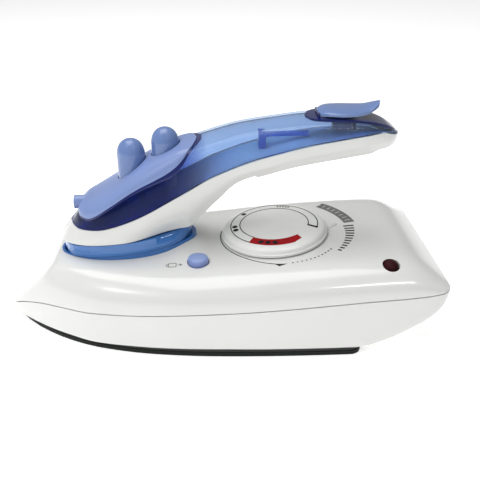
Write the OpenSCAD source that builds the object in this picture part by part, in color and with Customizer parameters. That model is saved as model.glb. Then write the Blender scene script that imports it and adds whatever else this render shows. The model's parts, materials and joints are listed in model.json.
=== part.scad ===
// Travel steam iron with a folding handle, a water tank in the grip and a round thermostat dial.
// +Z is up, the nose points to -X and the heel to +X. The sole rests on Z = 0 and the origin is
// under the middle of the body.

/* [Body] */
// Width over both sides of the body
body_w = 85; // [80:1:88]
// Thickness of the moulded plastic walls
wall = 2; // [1.6:0.1:2.4]
// Gap left between the upper shell and the skirt
seam_gap = 0.5; // [0.2:0.1:0.8]
// Thickness of the metal soleplate
sole_t = 1.9; // [1.7:0.1:2.1]
// Thickness of the black heat gasket on top of the soleplate
gasket_t = 1.3; // [1.1:0.1:1.5]

/* [Fold] */
// Slope of the collar and of the underside of the handle's head, in degrees
rim_tilt = 6; // [5:0.5:7]
// Height of the collar's rim above the hinge pin
rim_h = 2.6; // [2.4:0.1:2.8]
// Height of the blue band that shows between the collar and the handle
band_h = 5.6; // [5:0.1:6]
// Radius of the hinge pin
pin_r = 1.2; // [1.1:0.1:1.3]
// Space left all round the rocker where it passes through the collar
rocker_gap = 0.5; // [0.4:0.1:0.7]

/* [Dial] */
// Radius of the thermostat dial
dial_r = 23.6; // [22:0.2:24]
// Height of the dial above the deck
dial_h = 4.8; // [4.2:0.1:5.2]
// Slope of the deck under the dial, in degrees
deck_tilt = 4; // [3:0.5:5]

/* [Buttons] */
// Radius of the spray and steam buttons
button_r = 5.9; // [5.4:0.1:6]
// Radius of the handle release button
release_r = 4.4; // [4.2:0.1:4.8]

/* [Cord inlet] */
// Radius of the cord bush's bore
cord_r = 3.2; // [2.8:0.1:3.4]

/* [Hidden] */
$fn = 48;
eps = 0.01;

nose_x = -95;
heel_x = 95;
inner_nose_x = -88;
inner_heel_x = 92.2;
base_top = sole_t + gasket_t;

// Half-width of the body at the seam, as a share of body_w / 2, along X
body_share = [[-95, 0.015], [-92, 0.13], [-85, 0.29], [-75, 0.475], [-65, 0.625], [-54, 0.76],
    [-34, 0.875], [-15, 0.937], [8, 0.974], [25, 0.993], [50, 1], [80, 0.99], [90, 0.965],
    [93.5, 0.92], [95, 0.85]];
// Height of the seam between the skirt and the upper shell
seam_line = [[-95, 6], [-88, 11], [-76, 15.8], [-54, 18.7], [-34, 19.9], [-15, 21.2], [8, 22.6],
    [25, 24], [58, 26.7], [80, 28], [95, 29.2]];
// Height of the upper shell along its middle: nose ramp, deck, ridge and rear face
top_line = [[-95, 6.4], [-90, 12.6], [-80, 23.4], [-72, 31.5], [-67, 33.6], [-50, 34], [-20, 34.6],
    [-7, 35.2], [33, 38], [65, 39.3], [76, 39.2], [80, 38.5], [84, 36.8], [90, 33.2], [95, 29.8]];
// Height of the swelling that carries the collar up to the hinge
mound_line = [[-80, 0], [-70, 0.3], [-60, 0.7], [-40, 1.9], [-24, 3.6], [-15, 4.7], [-8, 3],
    [-2, 0.6], [2, 0]];
mound_w = 28;
// Underside of the skirt: flat over the gasket, then sweeping up under the heel
belly_low = base_top + 0.06;
belly_line = [[-95, belly_low], [40, belly_low], [50, belly_low], [60, belly_low + 0.44], [70, 7.2],
    [80, 12.6], [88, 18], [92, 22.6], [95, 28.2]];
// Half-width of the soleplate
sole_line = [[-93, 0], [-90, 4.4], [-82.5, 12.4], [-70, 21.9], [-56, 29.2], [-42, 33.7], [-29, 36.5],
    [-9, 39], [18, 40.5], [40, 41], [60, 41]];
sole_end = 59.5;
sole_corner = 5;
steam_hole_r = 1.3;
// Section of the upper shell: flat deck, side facet, shoulder and upright side
deck_corners = [[0, 1], [0.42, 1], [0.74, 0.99], [0.94, 0.64], [1, 0.32], [1, 0]];
// Section of the skirt, upside down: upright side, tight corner and flat belly
belly_corners = [[0, 1], [0.5, 1], [0.93, 1], [0.985, 0.985], [0.997, 0.5], [1, 0]];
// Stations along the body and shares of its section where the shells are shaped
body_x = stations(nose_x, heel_x, 34);
body_v = [for (j = [-10:10]) j / 10];

// Handle: half-width and height of the line where the tank meets the shell, along X
grip_w = [[-64, 0.6], [-62.5, 5.5], [-59, 10.5], [-52, 14.8], [-44, 16.6], [-34, 16.8], [-22, 15.8],
    [-8, 14.2], [10, 13.2], [45, 13], [60, 12], [68, 9.6], [73, 6.4], [75.4, 3], [76.2, 0.6]];
joint_line = [[-64, 47.8], [-60, 47.2], [-55, 47.8], [-49, 48.8], [-43, 50.6], [-34, 54],
    [-28, 56.8], [-22, 60], [-10, 66.4], [-4, 69.8], [4, 73.2], [11, 75.9], [19, 78.4], [27, 80.5],
    [38, 83.1], [52, 85.4], [60, 86.4], [68, 86.9], [74, 85], [76.2, 84.2]];
// Where the handle's flat base ends, and the underside of the handle shell behind it
foot_end = -12.2;
keel_line = [[foot_end, 45.7], [-9.8, 48.5], [-6.2, 52], [-2.4, 56.3], [1.4, 60.2], [4.5, 63.8], [8, 66.8],
    [13, 69], [21, 71], [27, 72.8], [37, 75], [53, 77.6], [60, 78.6], [66, 79.3], [71, 79.8],
    [74, 81], [76.2, 82.6]];
// Top of the water tank along its middle
tank_top = [[-64, 49.6], [-61.5, 53.6], [-58, 56.8], [-54, 58.6], [-50, 60.6], [-43, 64.6], [-30, 73.6],
    [-16, 80.2], [-8, 82.8], [0, 85.4], [8, 87.6], [16, 89], [26, 90.3], [35, 91.3], [45, 91.8],
    [55, 91.5], [64, 90.2], [70, 88.2], [74, 86], [76.2, 84.7]];
// How far the head leans forward below the tank line
prow_line = [[-64, 5.6], [-56, 4], [-40, 1], [-25, 0], [76.2, 0]];
// How much wider the head is at its flat base than at the tank line
base_spread = 1.04;

// Stations along the handle, along the plate under the grip, and shares of their sections
handle_from = -64;
handle_to = 76.2;
handle_in_from = -58;
handle_in_to = 73.6;
handle_x = stations(handle_from, handle_to, 36);
handle_v = [for (j = [-8:8]) j / 8];
plate_x = stations(15.5, 70, 16);
plate_v = [for (j = [-4:4]) 0.24 * j / 4];
plate_gap = 0.12;
plate_low = 1.8;
// How much of the tank's section the cover and the filler tray reach over, along X
cover_reach = [[-60.8, 0.5], [-59.4, 0.7], [-57, 0.79], [-54, 0.81], [-46, 0.72], [-38, 0.68],
    [-24, 0.7], [-18, 0.67], [-14, 0.57], [-11, 0.36], [-8.5, 0.04]];
tray_reach = [[36.5, 0.03], [38.5, 0.19], [42, 0.3], [48, 0.37], [55, 0.4], [62, 0.43], [67, 0.45],
    [71, 0.44], [73.6, 0.34], [75, 0.05]];
// Flap: half width and top along X, and thickness
flap_w = [[40.9, 2.6], [43, 5.6], [46, 7.4], [51, 8.4], [56, 8], [60, 6.8], [64, 4.8], [66.4, 2.8],
    [67.2, 1]];
flap_top = [[40.9, 94.3], [45, 95.3], [52, 95.3], [58, 95.4], [62, 95.9], [65, 97], [67.2, 98]];
flap_t = 1.2;

hinge = [-15, 0, 37];
band_top = rim_h + band_h;
// Oval of the collar's opening: middle, measured from the hinge, half length and half width
oval_x = -24.6;
oval_l = 28.8;
oval_w = 14.9;
// Wall of the collar, and how far the collar reaches below its rim
collar_wall = 1.3;
collar_h = 5.2;

// How far the rocker's front wall reaches below the hinge, in degrees round the pin
rocker_low = 23;
rocker_wall = 1.6;
// How far the band reaches out past the opening on both sides, and how far back from it at the nose
band_over = 1.8;
band_back = 2.6;
// Notch for the latch in the side of the rocker, along X and Z from the hinge
notch_at = [-13.5, -4.5];
notch_r = 1.9;
// Ears of the hinge bracket and the rocker's knuckle between them
ear_y = 4.7;
ear_t = 1;
ear_r = 2.1;
knuckle_y = 4.1;
bracket_post = [12, 5.5];
rocker_screw_x = [-44, -28];

dial_c = [25.3, 0, 37.4];
lamp_c = [70.2, -31.3, 36.5];
lamp_lean = 31;
lamp_r = 3.5;

// Release button and latch: height of the bolt, its thickness, top of the wedge, stem of the
// button, seat of the button's spring, and the lines of the bolt's finger and arm
release_c = [-9, -20.8, 34.6];
release_h = 3.5;
stem_r = 1.6;
bolt_z = 26;
bolt_t = 1.4;
wedge_top = 30.6;
seat_z = 30.9;
finger_x = -28;
arm_y = -15.2;

// Steam chamber, heater bar and the screws of the chamber's cover
chamber_h = 5.4;
chamber_top = sole_t + chamber_h;
heater_z = sole_t + 3.2;
heater_r = 2.6;
heater_w = 20;
heater_bend = -38;
heater_end = 43.5;
pin_end = 50;
chamber_screw_spots = [[-50, 0], [23, 14.5], [23, -14.5]];
shell_screw_spots = [[72, 19], [72, -19]];
shell_screw_z = 8.9;
shell_screw_r = 1.5;

// Thermal fuse and terminal block
fuse_c = [0, -27, 17];
fuse_len = 11;
block_x = 62;
block_z = 17;
block_size = [13, 26, 9];
terminal_y = [-8, 0, 8];
wire_r = 0.9;

// Pilot lamp behind its lens
lamp_tip_r = 1.3;
lens_dome_r = 4.1;
lens_depth = 4.6;

// Cord inlet
inlet_c = [82.4, 0, 22.8];
bush_len = 12;

// Spray and steam: buttons, pumps and nozzle
spray_c = [-36, 0];
steam_c = [-21.5, 0];
spray_top = 83.3;
steam_top = 88;
spray_len = 17.4;
steam_len = 14.5;
dome_h = 6.5;
button_well = 0.6;
spray_pump_z = 55.8;
steam_valve_z = 63;
pump_h = 6;
rod_r = 1.8;
nozzle_z = 55.2;
nozzle_r = 2.9;

// Baffle in the tank: where its post stands, the post's size, and the bar that runs back from it
baffle_x = 17.4;
post_size = [3, 5, 6.5];
bar_size = [18, 3.6, 1.6];

// Filler in the top of the tank
filler_x = 53;
filler_r = 5.2;
flap_hinge = [41.8, 0, 93.5];
grip_screw_x = [24, 62];

// ---- curves ----

// Index of the span of points p that holds x
function span(p, x, i = 0) = (i >= len(p) - 2 || x <= p[i + 1][0]) ? i : span(p, x, i + 1);

// Slope of the curve through points p at point i
function slope(p, i) = let (a = max(i - 1, 0), b = min(i + 1, len(p) - 1))
    (p[b][1] - p[a][1]) / (p[b][0] - p[a][0]);

// Height at x of a smooth curve through points p
function along(p, x) = let (i = span(p, x), h = p[i + 1][0] - p[i][0], t = (x - p[i][0]) / h)
    (2 * t ^ 3 - 3 * t ^ 2 + 1) * p[i][1] + (t ^ 3 - 2 * t ^ 2 + t) * h * slope(p, i)
    + (3 * t ^ 2 - 2 * t ^ 3) * p[i + 1][1] + (t ^ 3 - t ^ 2) * h * slope(p, i + 1);

// Point at t, from 0 to 1, on a smooth curve drawn inside the corners q
function bend(q, t) = let (n = len(q) - 2, s = min(floor(t * n), n - 1), u = t * n - s,
    a = s == 0 ? q[0] : (q[s] + q[s + 1]) / 2,
    b = s == n - 1 ? q[n + 1] : (q[s + 1] + q[s + 2]) / 2)
    a * (1 - u) ^ 2 + 2 * q[s + 1] * u * (1 - u) + b * u ^ 2;

// Share of the way from a to b at k, kept between 0 and 1
function ease(a, b, k) = let (t = min(1, max(0, (k - a) / (b - a)))) t * t * (3 - 2 * t);

// n + 1 stations from a to b, closer together at both ends
function stations(a, b, n) = [for (i = [0:n]) a + (b - a) * (1 - cos(180 * i / n)) / 2];

// ---- solids ----

// Closed shell between two grids of points of the same size
module slab(a, b) {
    n = len(a);
    m = len(a[0]);
    o = n * m;
    quads = concat(
        [for (i = [0:n - 2], j = [0:m - 2]) [i * m + j, i * m + j + 1, i * m + m + j + 1, i * m + m + j]],
        [for (i = [0:n - 2], j = [0:m - 2])
            [o + i * m + j, o + i * m + m + j, o + i * m + m + j + 1, o + i * m + j + 1]],
        [for (i = [0:n - 2]) [i * m, i * m + m, o + i * m + m, o + i * m]],
        [for (i = [0:n - 2]) [i * m + m - 1, o + i * m + m - 1, o + i * m + 2 * m - 1, i * m + 2 * m - 1]],
        [for (j = [0:m - 2]) [j, o + j, o + j + 1, j + 1]],
        [for (j = [0:m - 2]) [o - m + j, o - m + j + 1, 2 * o - m + j + 1, 2 * o - m + j]]);
    polyhedron(points = concat([for (r = a) each r], [for (r = b) each r]),
        faces = [for (q = quads) each [[q[0], q[1], q[2]], [q[0], q[2], q[3]]]]);
}

// Straight round bar from p to q
module bar(p, q, r) {
    d = q - p;
    translate(p)
        rotate([0, acos(d[2] / norm(d)), atan2(d[1], d[0])])
            cylinder(h = norm(d), r = r);
}

// Round tube standing on Z
module tube(h, r, bore) {
    difference() {
        cylinder(h = h, r = r);
        translate([0, 0, -eps])
            cylinder(h = h + 2 * eps, r = bore);
    }
}

// Pan-head screw with a cross slot, head up, thread down, standing on Z = 0
module screw(len, r) {
    difference() {
        union() {
            translate([0, 0, -len])
                cylinder(h = len + eps, r = r);
            cylinder(h = 1.4, r = 2 * r);
        }
        for (a = [0, 90])
            rotate(a)
                translate([-1.3 * r, -0.3, 0.7])
                    cube([2.6 * r, 0.6, 1]);
    }
}

// Compression spring as a stack of rings joined into one sleeve
module spring(h, r, wire, turns) {
    pitch = (h - 2 * wire) / turns;
    rotate_extrude()
        union() {
            translate([r - wire / 2, 0])
                square([wire, h]);
            for (i = [0:turns])
                translate([r, wire + i * pitch])
                    circle(r = wire, $fn = 12);
        }
}

// Oval outline of the collar's opening grown by g, a little fuller than an ellipse at the nose
function oval(g = 0) = [for (i = [0:39]) let (t = 9 * i, c = cos(t), k = c < 0 ? 0.92 : 1)
    [oval_x + (oval_l + g) * sign(c) * abs(c) ^ k, (oval_w + g) * sin(t)]];

// Frame of the collar: origin on the hinge pin, Z square to the collar's rim
module at_hinge() {
    translate(hinge)
        rotate([0, -rim_tilt, 0])
            children();
}

// Frame of the dial: origin on the deck under its middle, Z along its axis
module at_dial() {
    translate(dial_c)
        rotate([0, -deck_tilt, 0])
            children();
}

// Outline of the soleplate drawn in by inset
module sole_outline(inset = 0) {
    tip = -93 + 2 * inset;
    n = 26;
    end = sole_end - inset;
    side = [for (i = [0:n]) let (x = tip + (end - sole_corner - tip) * i / n)
        [x, max(0.1, along(sole_line, x) - inset)]];
    corner = [for (a = [75:-15:0])
        [end - sole_corner + sole_corner * cos(a), side[n][1] - sole_corner + sole_corner * sin(a)]];
    half = concat(side, corner);
    polygon(concat(half, [for (i = [len(half) - 1:-1:0]) [half[i][0], -half[i][1]]]));
}

// ---- body shells ----

function half_w(x) = along(body_share, x) * body_w / 2;
// Squeezes X of the outer surface onto the inner surface, which stops short at both ends
function inner_x(x) = inner_nose_x + (x - nose_x) * (inner_heel_x - inner_nose_x) / (heel_x - nose_x);
function mound(x, y) = (x < -80 || x > 2 || abs(y) > mound_w) ? 0
    : along(mound_line, x) * (1 - (y / mound_w) ^ 2) ^ 2;

function deck_point(x, v, t) = let (q = bend(deck_corners, abs(v)), s = sign(v),
    w = half_w(x) - t, z0 = along(seam_line, x) + seam_gap / 2,
    y = s * q[0] * w, h = along(top_line, x) - 1.1 * t - z0)
    [x, y, z0 + q[1] * h + mound(x, y)];
function belly_point(x, v, t) = let (q = bend(belly_corners, abs(v)), s = sign(v),
    w = half_w(x) - t, z0 = along(seam_line, x) - seam_gap / 2, h = z0 - along(belly_line, x) - t)
    [x, s * q[0] * w, z0 - q[1] * h];

module upper_shell() color("white") difference() {
    union() {
        slab([for (x = body_x) [for (v = body_v) deck_point(x, v, 0)]],
            [for (x = body_x) [for (v = body_v) deck_point(inner_x(x), v, wall)]]);
        for (p = shell_screw_spots)
            translate([p[0], p[1], shell_screw_z + 3.4])
                cylinder(h = 25, r = 2.8);
    }
    at_hinge()
        translate([0, 0, -8])
            linear_extrude(12)
                polygon(oval(collar_wall + 0.05));
    at_dial()
        translate([0, 0, -6])
            cylinder(h = 9, r = 4.2);
    translate([release_c[0], release_c[1], release_c[2] - 6])
        cylinder(h = 12, r = release_r + 0.3);
    at_lamp()
        translate([0, 0, -6])
            cylinder(h = 12, r = lamp_r + 0.05);
    for (p = shell_screw_spots)
        translate([p[0], p[1], shell_screw_z - eps])
            cylinder(h = 14, r = shell_screw_r + 0.05);
}

module skirt() color("whitesmoke") difference() {
    slab([for (x = body_x) [for (v = body_v) belly_point(inner_x(x), v, wall)]],
        [for (x = body_x) [for (v = body_v) belly_point(x, v, 0)]]);
    translate([0, 0, base_top - 1])
        linear_extrude(wall + 1.5)
            sole_outline(9);
    translate(inlet_c)
        rotate([0, 90, 0])
            cylinder(h = 14, r = cord_r + 2.1);
    for (p = shell_screw_spots) {
        translate([p[0], p[1], 0])
            cylinder(h = shell_screw_z, r = 2 * shell_screw_r + 0.2);
        translate([p[0], p[1], 0])
            cylinder(h = 20, r = shell_screw_r + 0.2);
    }
}

// ---- sole and heater ----

// Plate with steam holes in two rows that spread out towards the heel, and one row in the nose
module soleplate() color("dimgray") difference() {
    linear_extrude(sole_t)
        sole_outline();
    for (row = [0:6], s = [-1, 1])
        translate([-64 + 14 * row, s * (9 + 2.6 * row), -1])
            cylinder(h = sole_t + 2, r = steam_hole_r);
    for (i = [0:3])
        translate([-72 + 9 * i, 0, -1])
            cylinder(h = sole_t + 2, r = steam_hole_r);
}

module sole_gasket() color("black") translate([0, 0, sole_t]) linear_extrude(gasket_t)
    difference() {
        sole_outline(0.3);
        sole_outline(8);
    }

// U of round bar lying in the chamber: two legs and a half-round bow towards the nose
module heater_path(r) {
    translate([heater_bend, 0, heater_z])
        rotate([0, 0, 90])
            rotate_extrude(angle = 180)
                translate([heater_w, 0])
                    circle(r = r);
    for (s = [-1, 1])
        translate([heater_bend - eps, s * heater_w, heater_z])
            rotate([0, 90, 0])
                cylinder(h = heater_end - heater_bend, r = r);
}

module steam_chamber() color("silver") difference() {
    translate([0, 0, sole_t])
        linear_extrude(chamber_h)
            intersection() {
                sole_outline(9.5);
                translate([-66, -32])
                    square([106, 64]);
            }
    heater_path(heater_r + 0.05);
    translate([-34, -12, sole_t + 1.6])
        cube([52, 24, chamber_h]);
    for (p = chamber_screw_spots)
        translate([p[0], p[1], sole_t + 1])
            cylinder(h = chamber_h, r = 1.3);
}

// Lid of the boiling hollow, with the hole the steam leaves through
module chamber_cover() color("gainsboro") translate([0, 0, chamber_top]) difference() {
    linear_extrude(1)
        polygon([[-54, -4], [-54, 4], [-38, 14.5], [27, 17.4], [27, -17.4], [-38, -14.5]]);
    for (p = chamber_screw_spots)
        translate([p[0], p[1], -1])
            cylinder(h = 3, r = 1.5);
    translate([-24, 0, -1])
        cylinder(h = 3, r = 2.4);
}

module heating_element() color("slategray") {
    heater_path(heater_r);
    for (s = [-1, 1])
        translate([heater_end - 0.5, s * heater_w, heater_z])
            rotate([0, 90, 0])
                cylinder(h = pin_end - heater_end + 0.5, r = 1.2);
}

// Sheet between the hot chamber and the mains parts
module heat_shield() color("lightgray") translate([0, 0, 14]) difference() {
    linear_extrude(0.8)
        intersection() {
            sole_outline(11);
            translate([0, -28])
                square([50, 56]);
        }
    translate([dial_c[0] + 2, 0, -1])
        cylinder(h = 3, r = 15.5);
}

module sole_screws() color("silver") for (p = chamber_screw_spots)
    translate([p[0], p[1], chamber_top + 1.02])
        screw(4.6, 1.2);

// ---- thermostat ----

// Thermostat body on three legs, with its contact box
module thermostat() color("tan") union() {
    at_dial()
        difference() {
            translate([0, 0, -26])
                cylinder(h = 9, r = 8);
            translate([0, 0, -22])
                cylinder(h = 9, r = 3.05);
        }
    for (a = [60, 180, 300])
        translate([dial_c[0] + 1.8 + 6.2 * cos(a), 6.2 * sin(a), chamber_top + 1])
            cylinder(h = 4, r = 1.4);
    translate([dial_c[0] + 8, -5, 13])
        cube([7, 10, 5]);
}

module thermostat_shaft() color("gold") at_dial() {
    translate([0, 0, -21])
        cylinder(h = 21.3, r = 3);
    translate([0, 0, 0.3])
        cylinder(h = 1.6, r = 2.4);
}

// ---- dial ----

module dial_knob() color("white") at_dial() rotate_extrude($fn = 96) polygon([
    [2.45, 0.35], [2.45, 2], [0, 2], [0, dial_h + 0.35],
    [dial_r - 9, dial_h + 0.3], [dial_r - 6.2, dial_h + 0.1], [dial_r - 3, dial_h - 0.25],
    [dial_r - 1.5, dial_h - 0.8], [dial_r - 0.8, dial_h - 1.6], [dial_r - 0.6, 2.3], [dial_r, 1.7],
    [dial_r, 0.75], [dial_r - 0.2, 0.55], [dial_r - 2, 0.55], [dial_r - 2.6, 2.4], [6, 2.4], [5, 0.35]]);

// ---- collar, hinge and rocker ----

// Oval ring in the upper shell that the rocker turns through
module collar() color("royalblue") at_hinge() difference() {
    translate([0, 0, rim_h - collar_h])
        linear_extrude(collar_h)
            polygon(oval(collar_wall));
    translate([0, 0, -6])
        linear_extrude(12)
            polygon(oval(0));
    translate([0, ear_y + 0.8, 0])
        rotate([90, 0, 0])
            cylinder(h = 2 * ear_y + 1.6, r = ear_r + 0.2);
    translate([-ear_r - 0.2, -ear_y - 0.8, -6])
        cube([2 * ear_r + 0.4, 2 * ear_y + 1.6, 6]);
}

// Two ears that hold the pin, on a plate screwed down through two posts
module hinge_bracket() color("lightgray") translate([hinge[0], 0, hinge[2]]) difference() {
    union() {
        for (s = [-1, 1]) {
            translate([0, s * ear_y + ear_t / 2, 0])
                rotate([90, 0, 0])
                    cylinder(h = ear_t, r = ear_r);
            translate([-ear_r, s * ear_y - ear_t / 2, -6])
                cube([2 * ear_r, ear_t, 6]);
            translate([bracket_post[0], s * bracket_post[1], -5])
                cylinder(h = 1.2, r = 2.2);
        }
        translate([-ear_r, -8, -6])
            cube([ear_r + bracket_post[0] + 2.3, 16, 1.4]);
    }
    translate([0, 10, 0])
        rotate([90, 0, 0])
            cylinder(h = 20, r = pin_r);
    for (s = [-1, 1])
        translate([bracket_post[0], s * bracket_post[1], -8])
            cylinder(h = 6, r = 1.1);
}

module hinge_pin() color("silver") translate([hinge[0], ear_y + 0.7, hinge[2]]) rotate([90, 0, 0])
    cylinder(h = 2 * ear_y + 1.4, r = pin_r);

// Outline of the band above the rim: it reaches out over the collar on both sides, not at the nose
function band_outline() = let (a = oval(-rocker_gap), b = oval(band_over))
    [for (i = [0:len(a) - 1]) a[i] + (b[i] - a[i]) * ease(-5, -13, a[i][0])
        + [band_back * ease(-44, -53, a[i][0]), 0]];

// Part of a ring round the hinge pin, from angle a to angle b below the nose direction
module swept_ring(a, b) {
    rotate([-90, 0, 0])
        rotate([0, 0, 180 - b])
            rotate_extrude(angle = b - a, $fn = 96)
                intersection() {
                    difference() {
                        mirror([1, 0])
                            polygon(oval(-rocker_gap));
                        mirror([1, 0])
                            polygon(oval(-rocker_gap - rocker_wall));
                    }
                    translate([11.5, -30])
                        square([60, 60]);
                }
}

// Blue foot of the handle: the swept wall inside the collar, the band above it and the knuckle
module rocker() color("cornflowerblue") at_hinge() difference() {
    union() {
        difference() {
            swept_ring(-14, rocker_low);
            translate([-80, -40, band_top])
                cube([100, 80, 20]);
        }
        difference() {
            translate([0, 0, rim_h + 0.3])
                linear_extrude(band_h - 0.3)
                    intersection() {
                        polygon(band_outline());
                        translate([-70, -20])
                            square([70.2, 40]);
                    }
            translate([0, 0, rim_h])
                linear_extrude(band_h - 1.8)
                    polygon(oval(-rocker_gap - rocker_wall));
        }
        translate([0, knuckle_y, 0])
            rotate([90, 0, 0])
                cylinder(h = 2 * knuckle_y, r = ear_r);
        translate([-ear_r, -knuckle_y, 0])
            cube([ear_r, 2 * knuckle_y, band_top - 1]);
    }
    translate([0, 10, 0])
        rotate([90, 0, 0])
            cylinder(h = 20, r = pin_r + 0.05);
    for (x = rocker_screw_x)
        translate([x, 0, 0])
            cylinder(h = 20, r = 1.4);
    translate([notch_at[0], -9, notch_at[1]])
        rotate([90, 0, 0])
            cylinder(h = 6, r = notch_r);
}

// ---- latch ----

// Guide for the bolt, with the seat of the button's spring on top
module latch_guide() color("gray") difference() {
    translate([release_c[0] - 5, release_c[1] - 5, bolt_z - 1])
        cube([10, 8.6, seat_z + 0.4 - bolt_z + 1]);
    translate([release_c[0] - 3, release_c[1] - 8, bolt_z - 0.15])
        cube([6, 20, seat_z - bolt_z + 0.15]);
    translate([release_c[0], release_c[1], bolt_z])
        cylinder(h = 10, r = 2.4);
}

// Sliding bolt: plate, wedge under the button's stem, and an arm with an upright finger at the rocker
module latch_bolt() color("dimgray") {
    plate_y = release_c[1] - 5.5;
    slope = wedge_top - bolt_z - bolt_t;
    translate([release_c[0] - 2.7, plate_y, bolt_z])
        cube([5.4, arm_y + 1.3 - plate_y, bolt_t]);
    translate([finger_x - 1.5, arm_y, bolt_z])
        cube([release_c[0] - 2.6 - finger_x + 1.5, 1.3, bolt_t]);
    translate([finger_x - 1.5, arm_y, bolt_z])
        cube([3, 1, 6]);
    translate([release_c[0] - 1.5, release_c[1] - stem_r, bolt_z + bolt_t - eps])
        rotate([90, 0, 90])
            linear_extrude(3)
                polygon([[-1.2, 0], [-1.2, slope], [0, slope], [slope, 0]]);
}

module release_button() color("cornflowerblue") translate(release_c) rotate_extrude() polygon([
    [0, wedge_top + 0.15 - release_c[2]], [stem_r, wedge_top + 0.15 - release_c[2]],
    [stem_r, -0.6], [release_r, -0.6], [release_r, release_h - 1.2],
    [release_r - 0.35, release_h - 0.45], [release_r - 1.1, release_h - 0.05],
    [release_r - 2.4, release_h + 0.1], [0, release_h + 0.1]]);

module release_spring() color("silver") translate([release_c[0], release_c[1], seat_z + 0.45])
    spring(release_c[2] - 0.65 - seat_z - 0.45, 3, 0.3, 2);

module latch_spring() color("silver") translate([release_c[0], release_c[1] - 5.6, bolt_z + 0.7])
    rotate([90, 0, 0])
        spring(5, 0.65, 0.2, 5);

// ---- lamp, wiring and cord inlet ----

// Frame of the pilot lens: origin on the side facet of the deck, Z square to it
module at_lamp() {
    translate(lamp_c)
        rotate([lamp_lean, 0, 0])
            children();
}

module pilot_lens() color("darkred") at_lamp() difference() {
    union() {
        rotate_extrude()
            intersection() {
                translate([0, 2.5 - lens_dome_r])
                    circle(r = lens_dome_r);
                translate([0, -1])
                    square([lamp_r, 6]);
            }
        translate([0, 0, -lens_depth])
            cylinder(h = lens_depth - 0.4, r = lamp_r);
    }
    translate([0, 0, -5])
        cylinder(h = 4.4, r = lamp_r - 1);
}

module pilot_lamp() color("orange") at_lamp() translate([0, 0, -9]) {
    cylinder(h = 7, r = 2);
    translate([0, 0, 7])
        sphere(r = lamp_tip_r);
}

// Fuse in its sleeve, with a lead at each end, lying beside the thermostat
module thermal_fuse() color("silver") translate(fuse_c) rotate([0, 90, 0]) {
    cylinder(h = fuse_len, r = 2);
    translate([0, 0, -5])
        cylinder(h = fuse_len + 10, r = 0.5);
}

// Ceramic block with three terminals, on two feet
module terminal_block() color("ivory") difference() {
    union() {
        translate([block_x, -block_size[1] / 2, block_z])
            cube(block_size);
        for (s = [-1, 1])
            translate([block_x + 4, s * 9, block_z - 6.6])
                cylinder(h = 7, r = 2);
    }
    for (y = terminal_y) {
        translate([block_x + block_size[0] / 2, y, block_z + 5])
            cylinder(h = 6, r = 1.9);
        translate([block_x - 2, y, block_z + 3])
            rotate([0, 90, 0])
                cylinder(h = 20, r = 1.3);
    }
}

// Gland that the mains lead is held in
module cord_bush() color("dimgray") translate(inlet_c) rotate([0, 90, 0]) difference() {
    union() {
        cylinder(h = bush_len, r = cord_r + 2);
        cylinder(h = 1.6, r = cord_r + 2.6);
    }
    translate([0, 0, -1])
        cylinder(h = bush_len + 2, r = cord_r);
}

module cord_clamp() color("ivory") translate([inlet_c[0] - 4.6, 0, inlet_c[2]]) difference() {
    translate([-2, -9, -6.5])
        cube([5, 18, 10.4]);
    translate([-4, 0, 0])
        rotate([0, 90, 0])
            cylinder(h = 9, r = cord_r);
    for (s = [-1, 1])
        translate([0.5, s * 6.4, -8])
            cylinder(h = 14, r = 1.1);
}

// Insulated wires from the terminal block to the heater, the fuse and the thermostat
module wiring() color("firebrick") {
    from = [for (y = terminal_y) [block_x - 0.4, y, block_z + 3]];
    bar(from[2], [pin_end - 1, heater_w - 0.6, heater_z + 2.6], wire_r);
    bar(from[0], fuse_c + [fuse_len + 6.5, 0, 0], wire_r);
    bar(fuse_c - [6, 0, 0], fuse_c - [6, 0, 6.5], wire_r);
    bar(from[1], [dial_c[0] + 16, 0, 15.6], wire_r);
}

module shell_screws() color("silver") for (p = shell_screw_spots)
    translate([p[0], p[1], shell_screw_z - 0.05])
        mirror([0, 0, 1])
            screw(12, shell_screw_r);

// ---- handle ----

// Section of the handle shell: side, then the turn under to the keel
function hull_corners(c) = [[0, 0], [c * 0.5, 0], [c, 0], [c + 0.03, 0.12], [1.03, 0.6], [1, 1]];
// Section of the tank: flat-topped in the grip, rounder over the head
function tank_corners(k) = [[0, 1], [0.45 - 0.15 * k, 1], [0.84 - 0.06 * k, 0.94 - 0.02 * k],
    [1, 0.5], [1, 0]];

function base_z(x) = hinge[2] + (band_top + 0.1) / cos(rim_tilt) + (x - hinge[0]) * tan(rim_tilt);
function keel_z(x) = x < foot_end ? base_z(x) : along(keel_line, x);
// Width of the foot as a share of the grip: it narrows with the collar, then widens into the grip
function foot_share(x) = 0.98 - 0.4 * ease(-40, -16, x) + 0.24 * ease(-12, 14, x);
function hull_point(x, v, t) = let (q = bend(hull_corners(foot_share(x)), abs(v)),
    s = sign(v), w = max(0.4, along(grip_w, x) * base_spread ^ (1 - q[1]) - t),
    lean = along(prow_line, x) * (1 - q[1]), xx = x - lean,
    zk = keel_z(x < foot_end ? xx : x) + t, zj = along(joint_line, x) - 0.1)
    [xx, s * q[0] * w, zk + (zj - zk) * q[1]];
function tank_point(x, v, t) = let (q = bend(tank_corners(ease(-6, -30, x)), abs(v)), s = sign(v),
    w = max(0.4, along(grip_w, x) - t), zj = along(joint_line, x) + 0.1,
    h = along(tank_top, x) - t - zj)
    [x + along(prow_line, x) * 0.35 * q[1] * ease(0, -64, x), s * q[0] * w, zj + q[1] * max(h, 0.3)];

// Squeezes X of the handle's outer surface onto its inner surface
function inner_handle_x(x) = handle_in_from
    + (x - handle_from) * (handle_in_to - handle_in_from) / (handle_to - handle_from);

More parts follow.
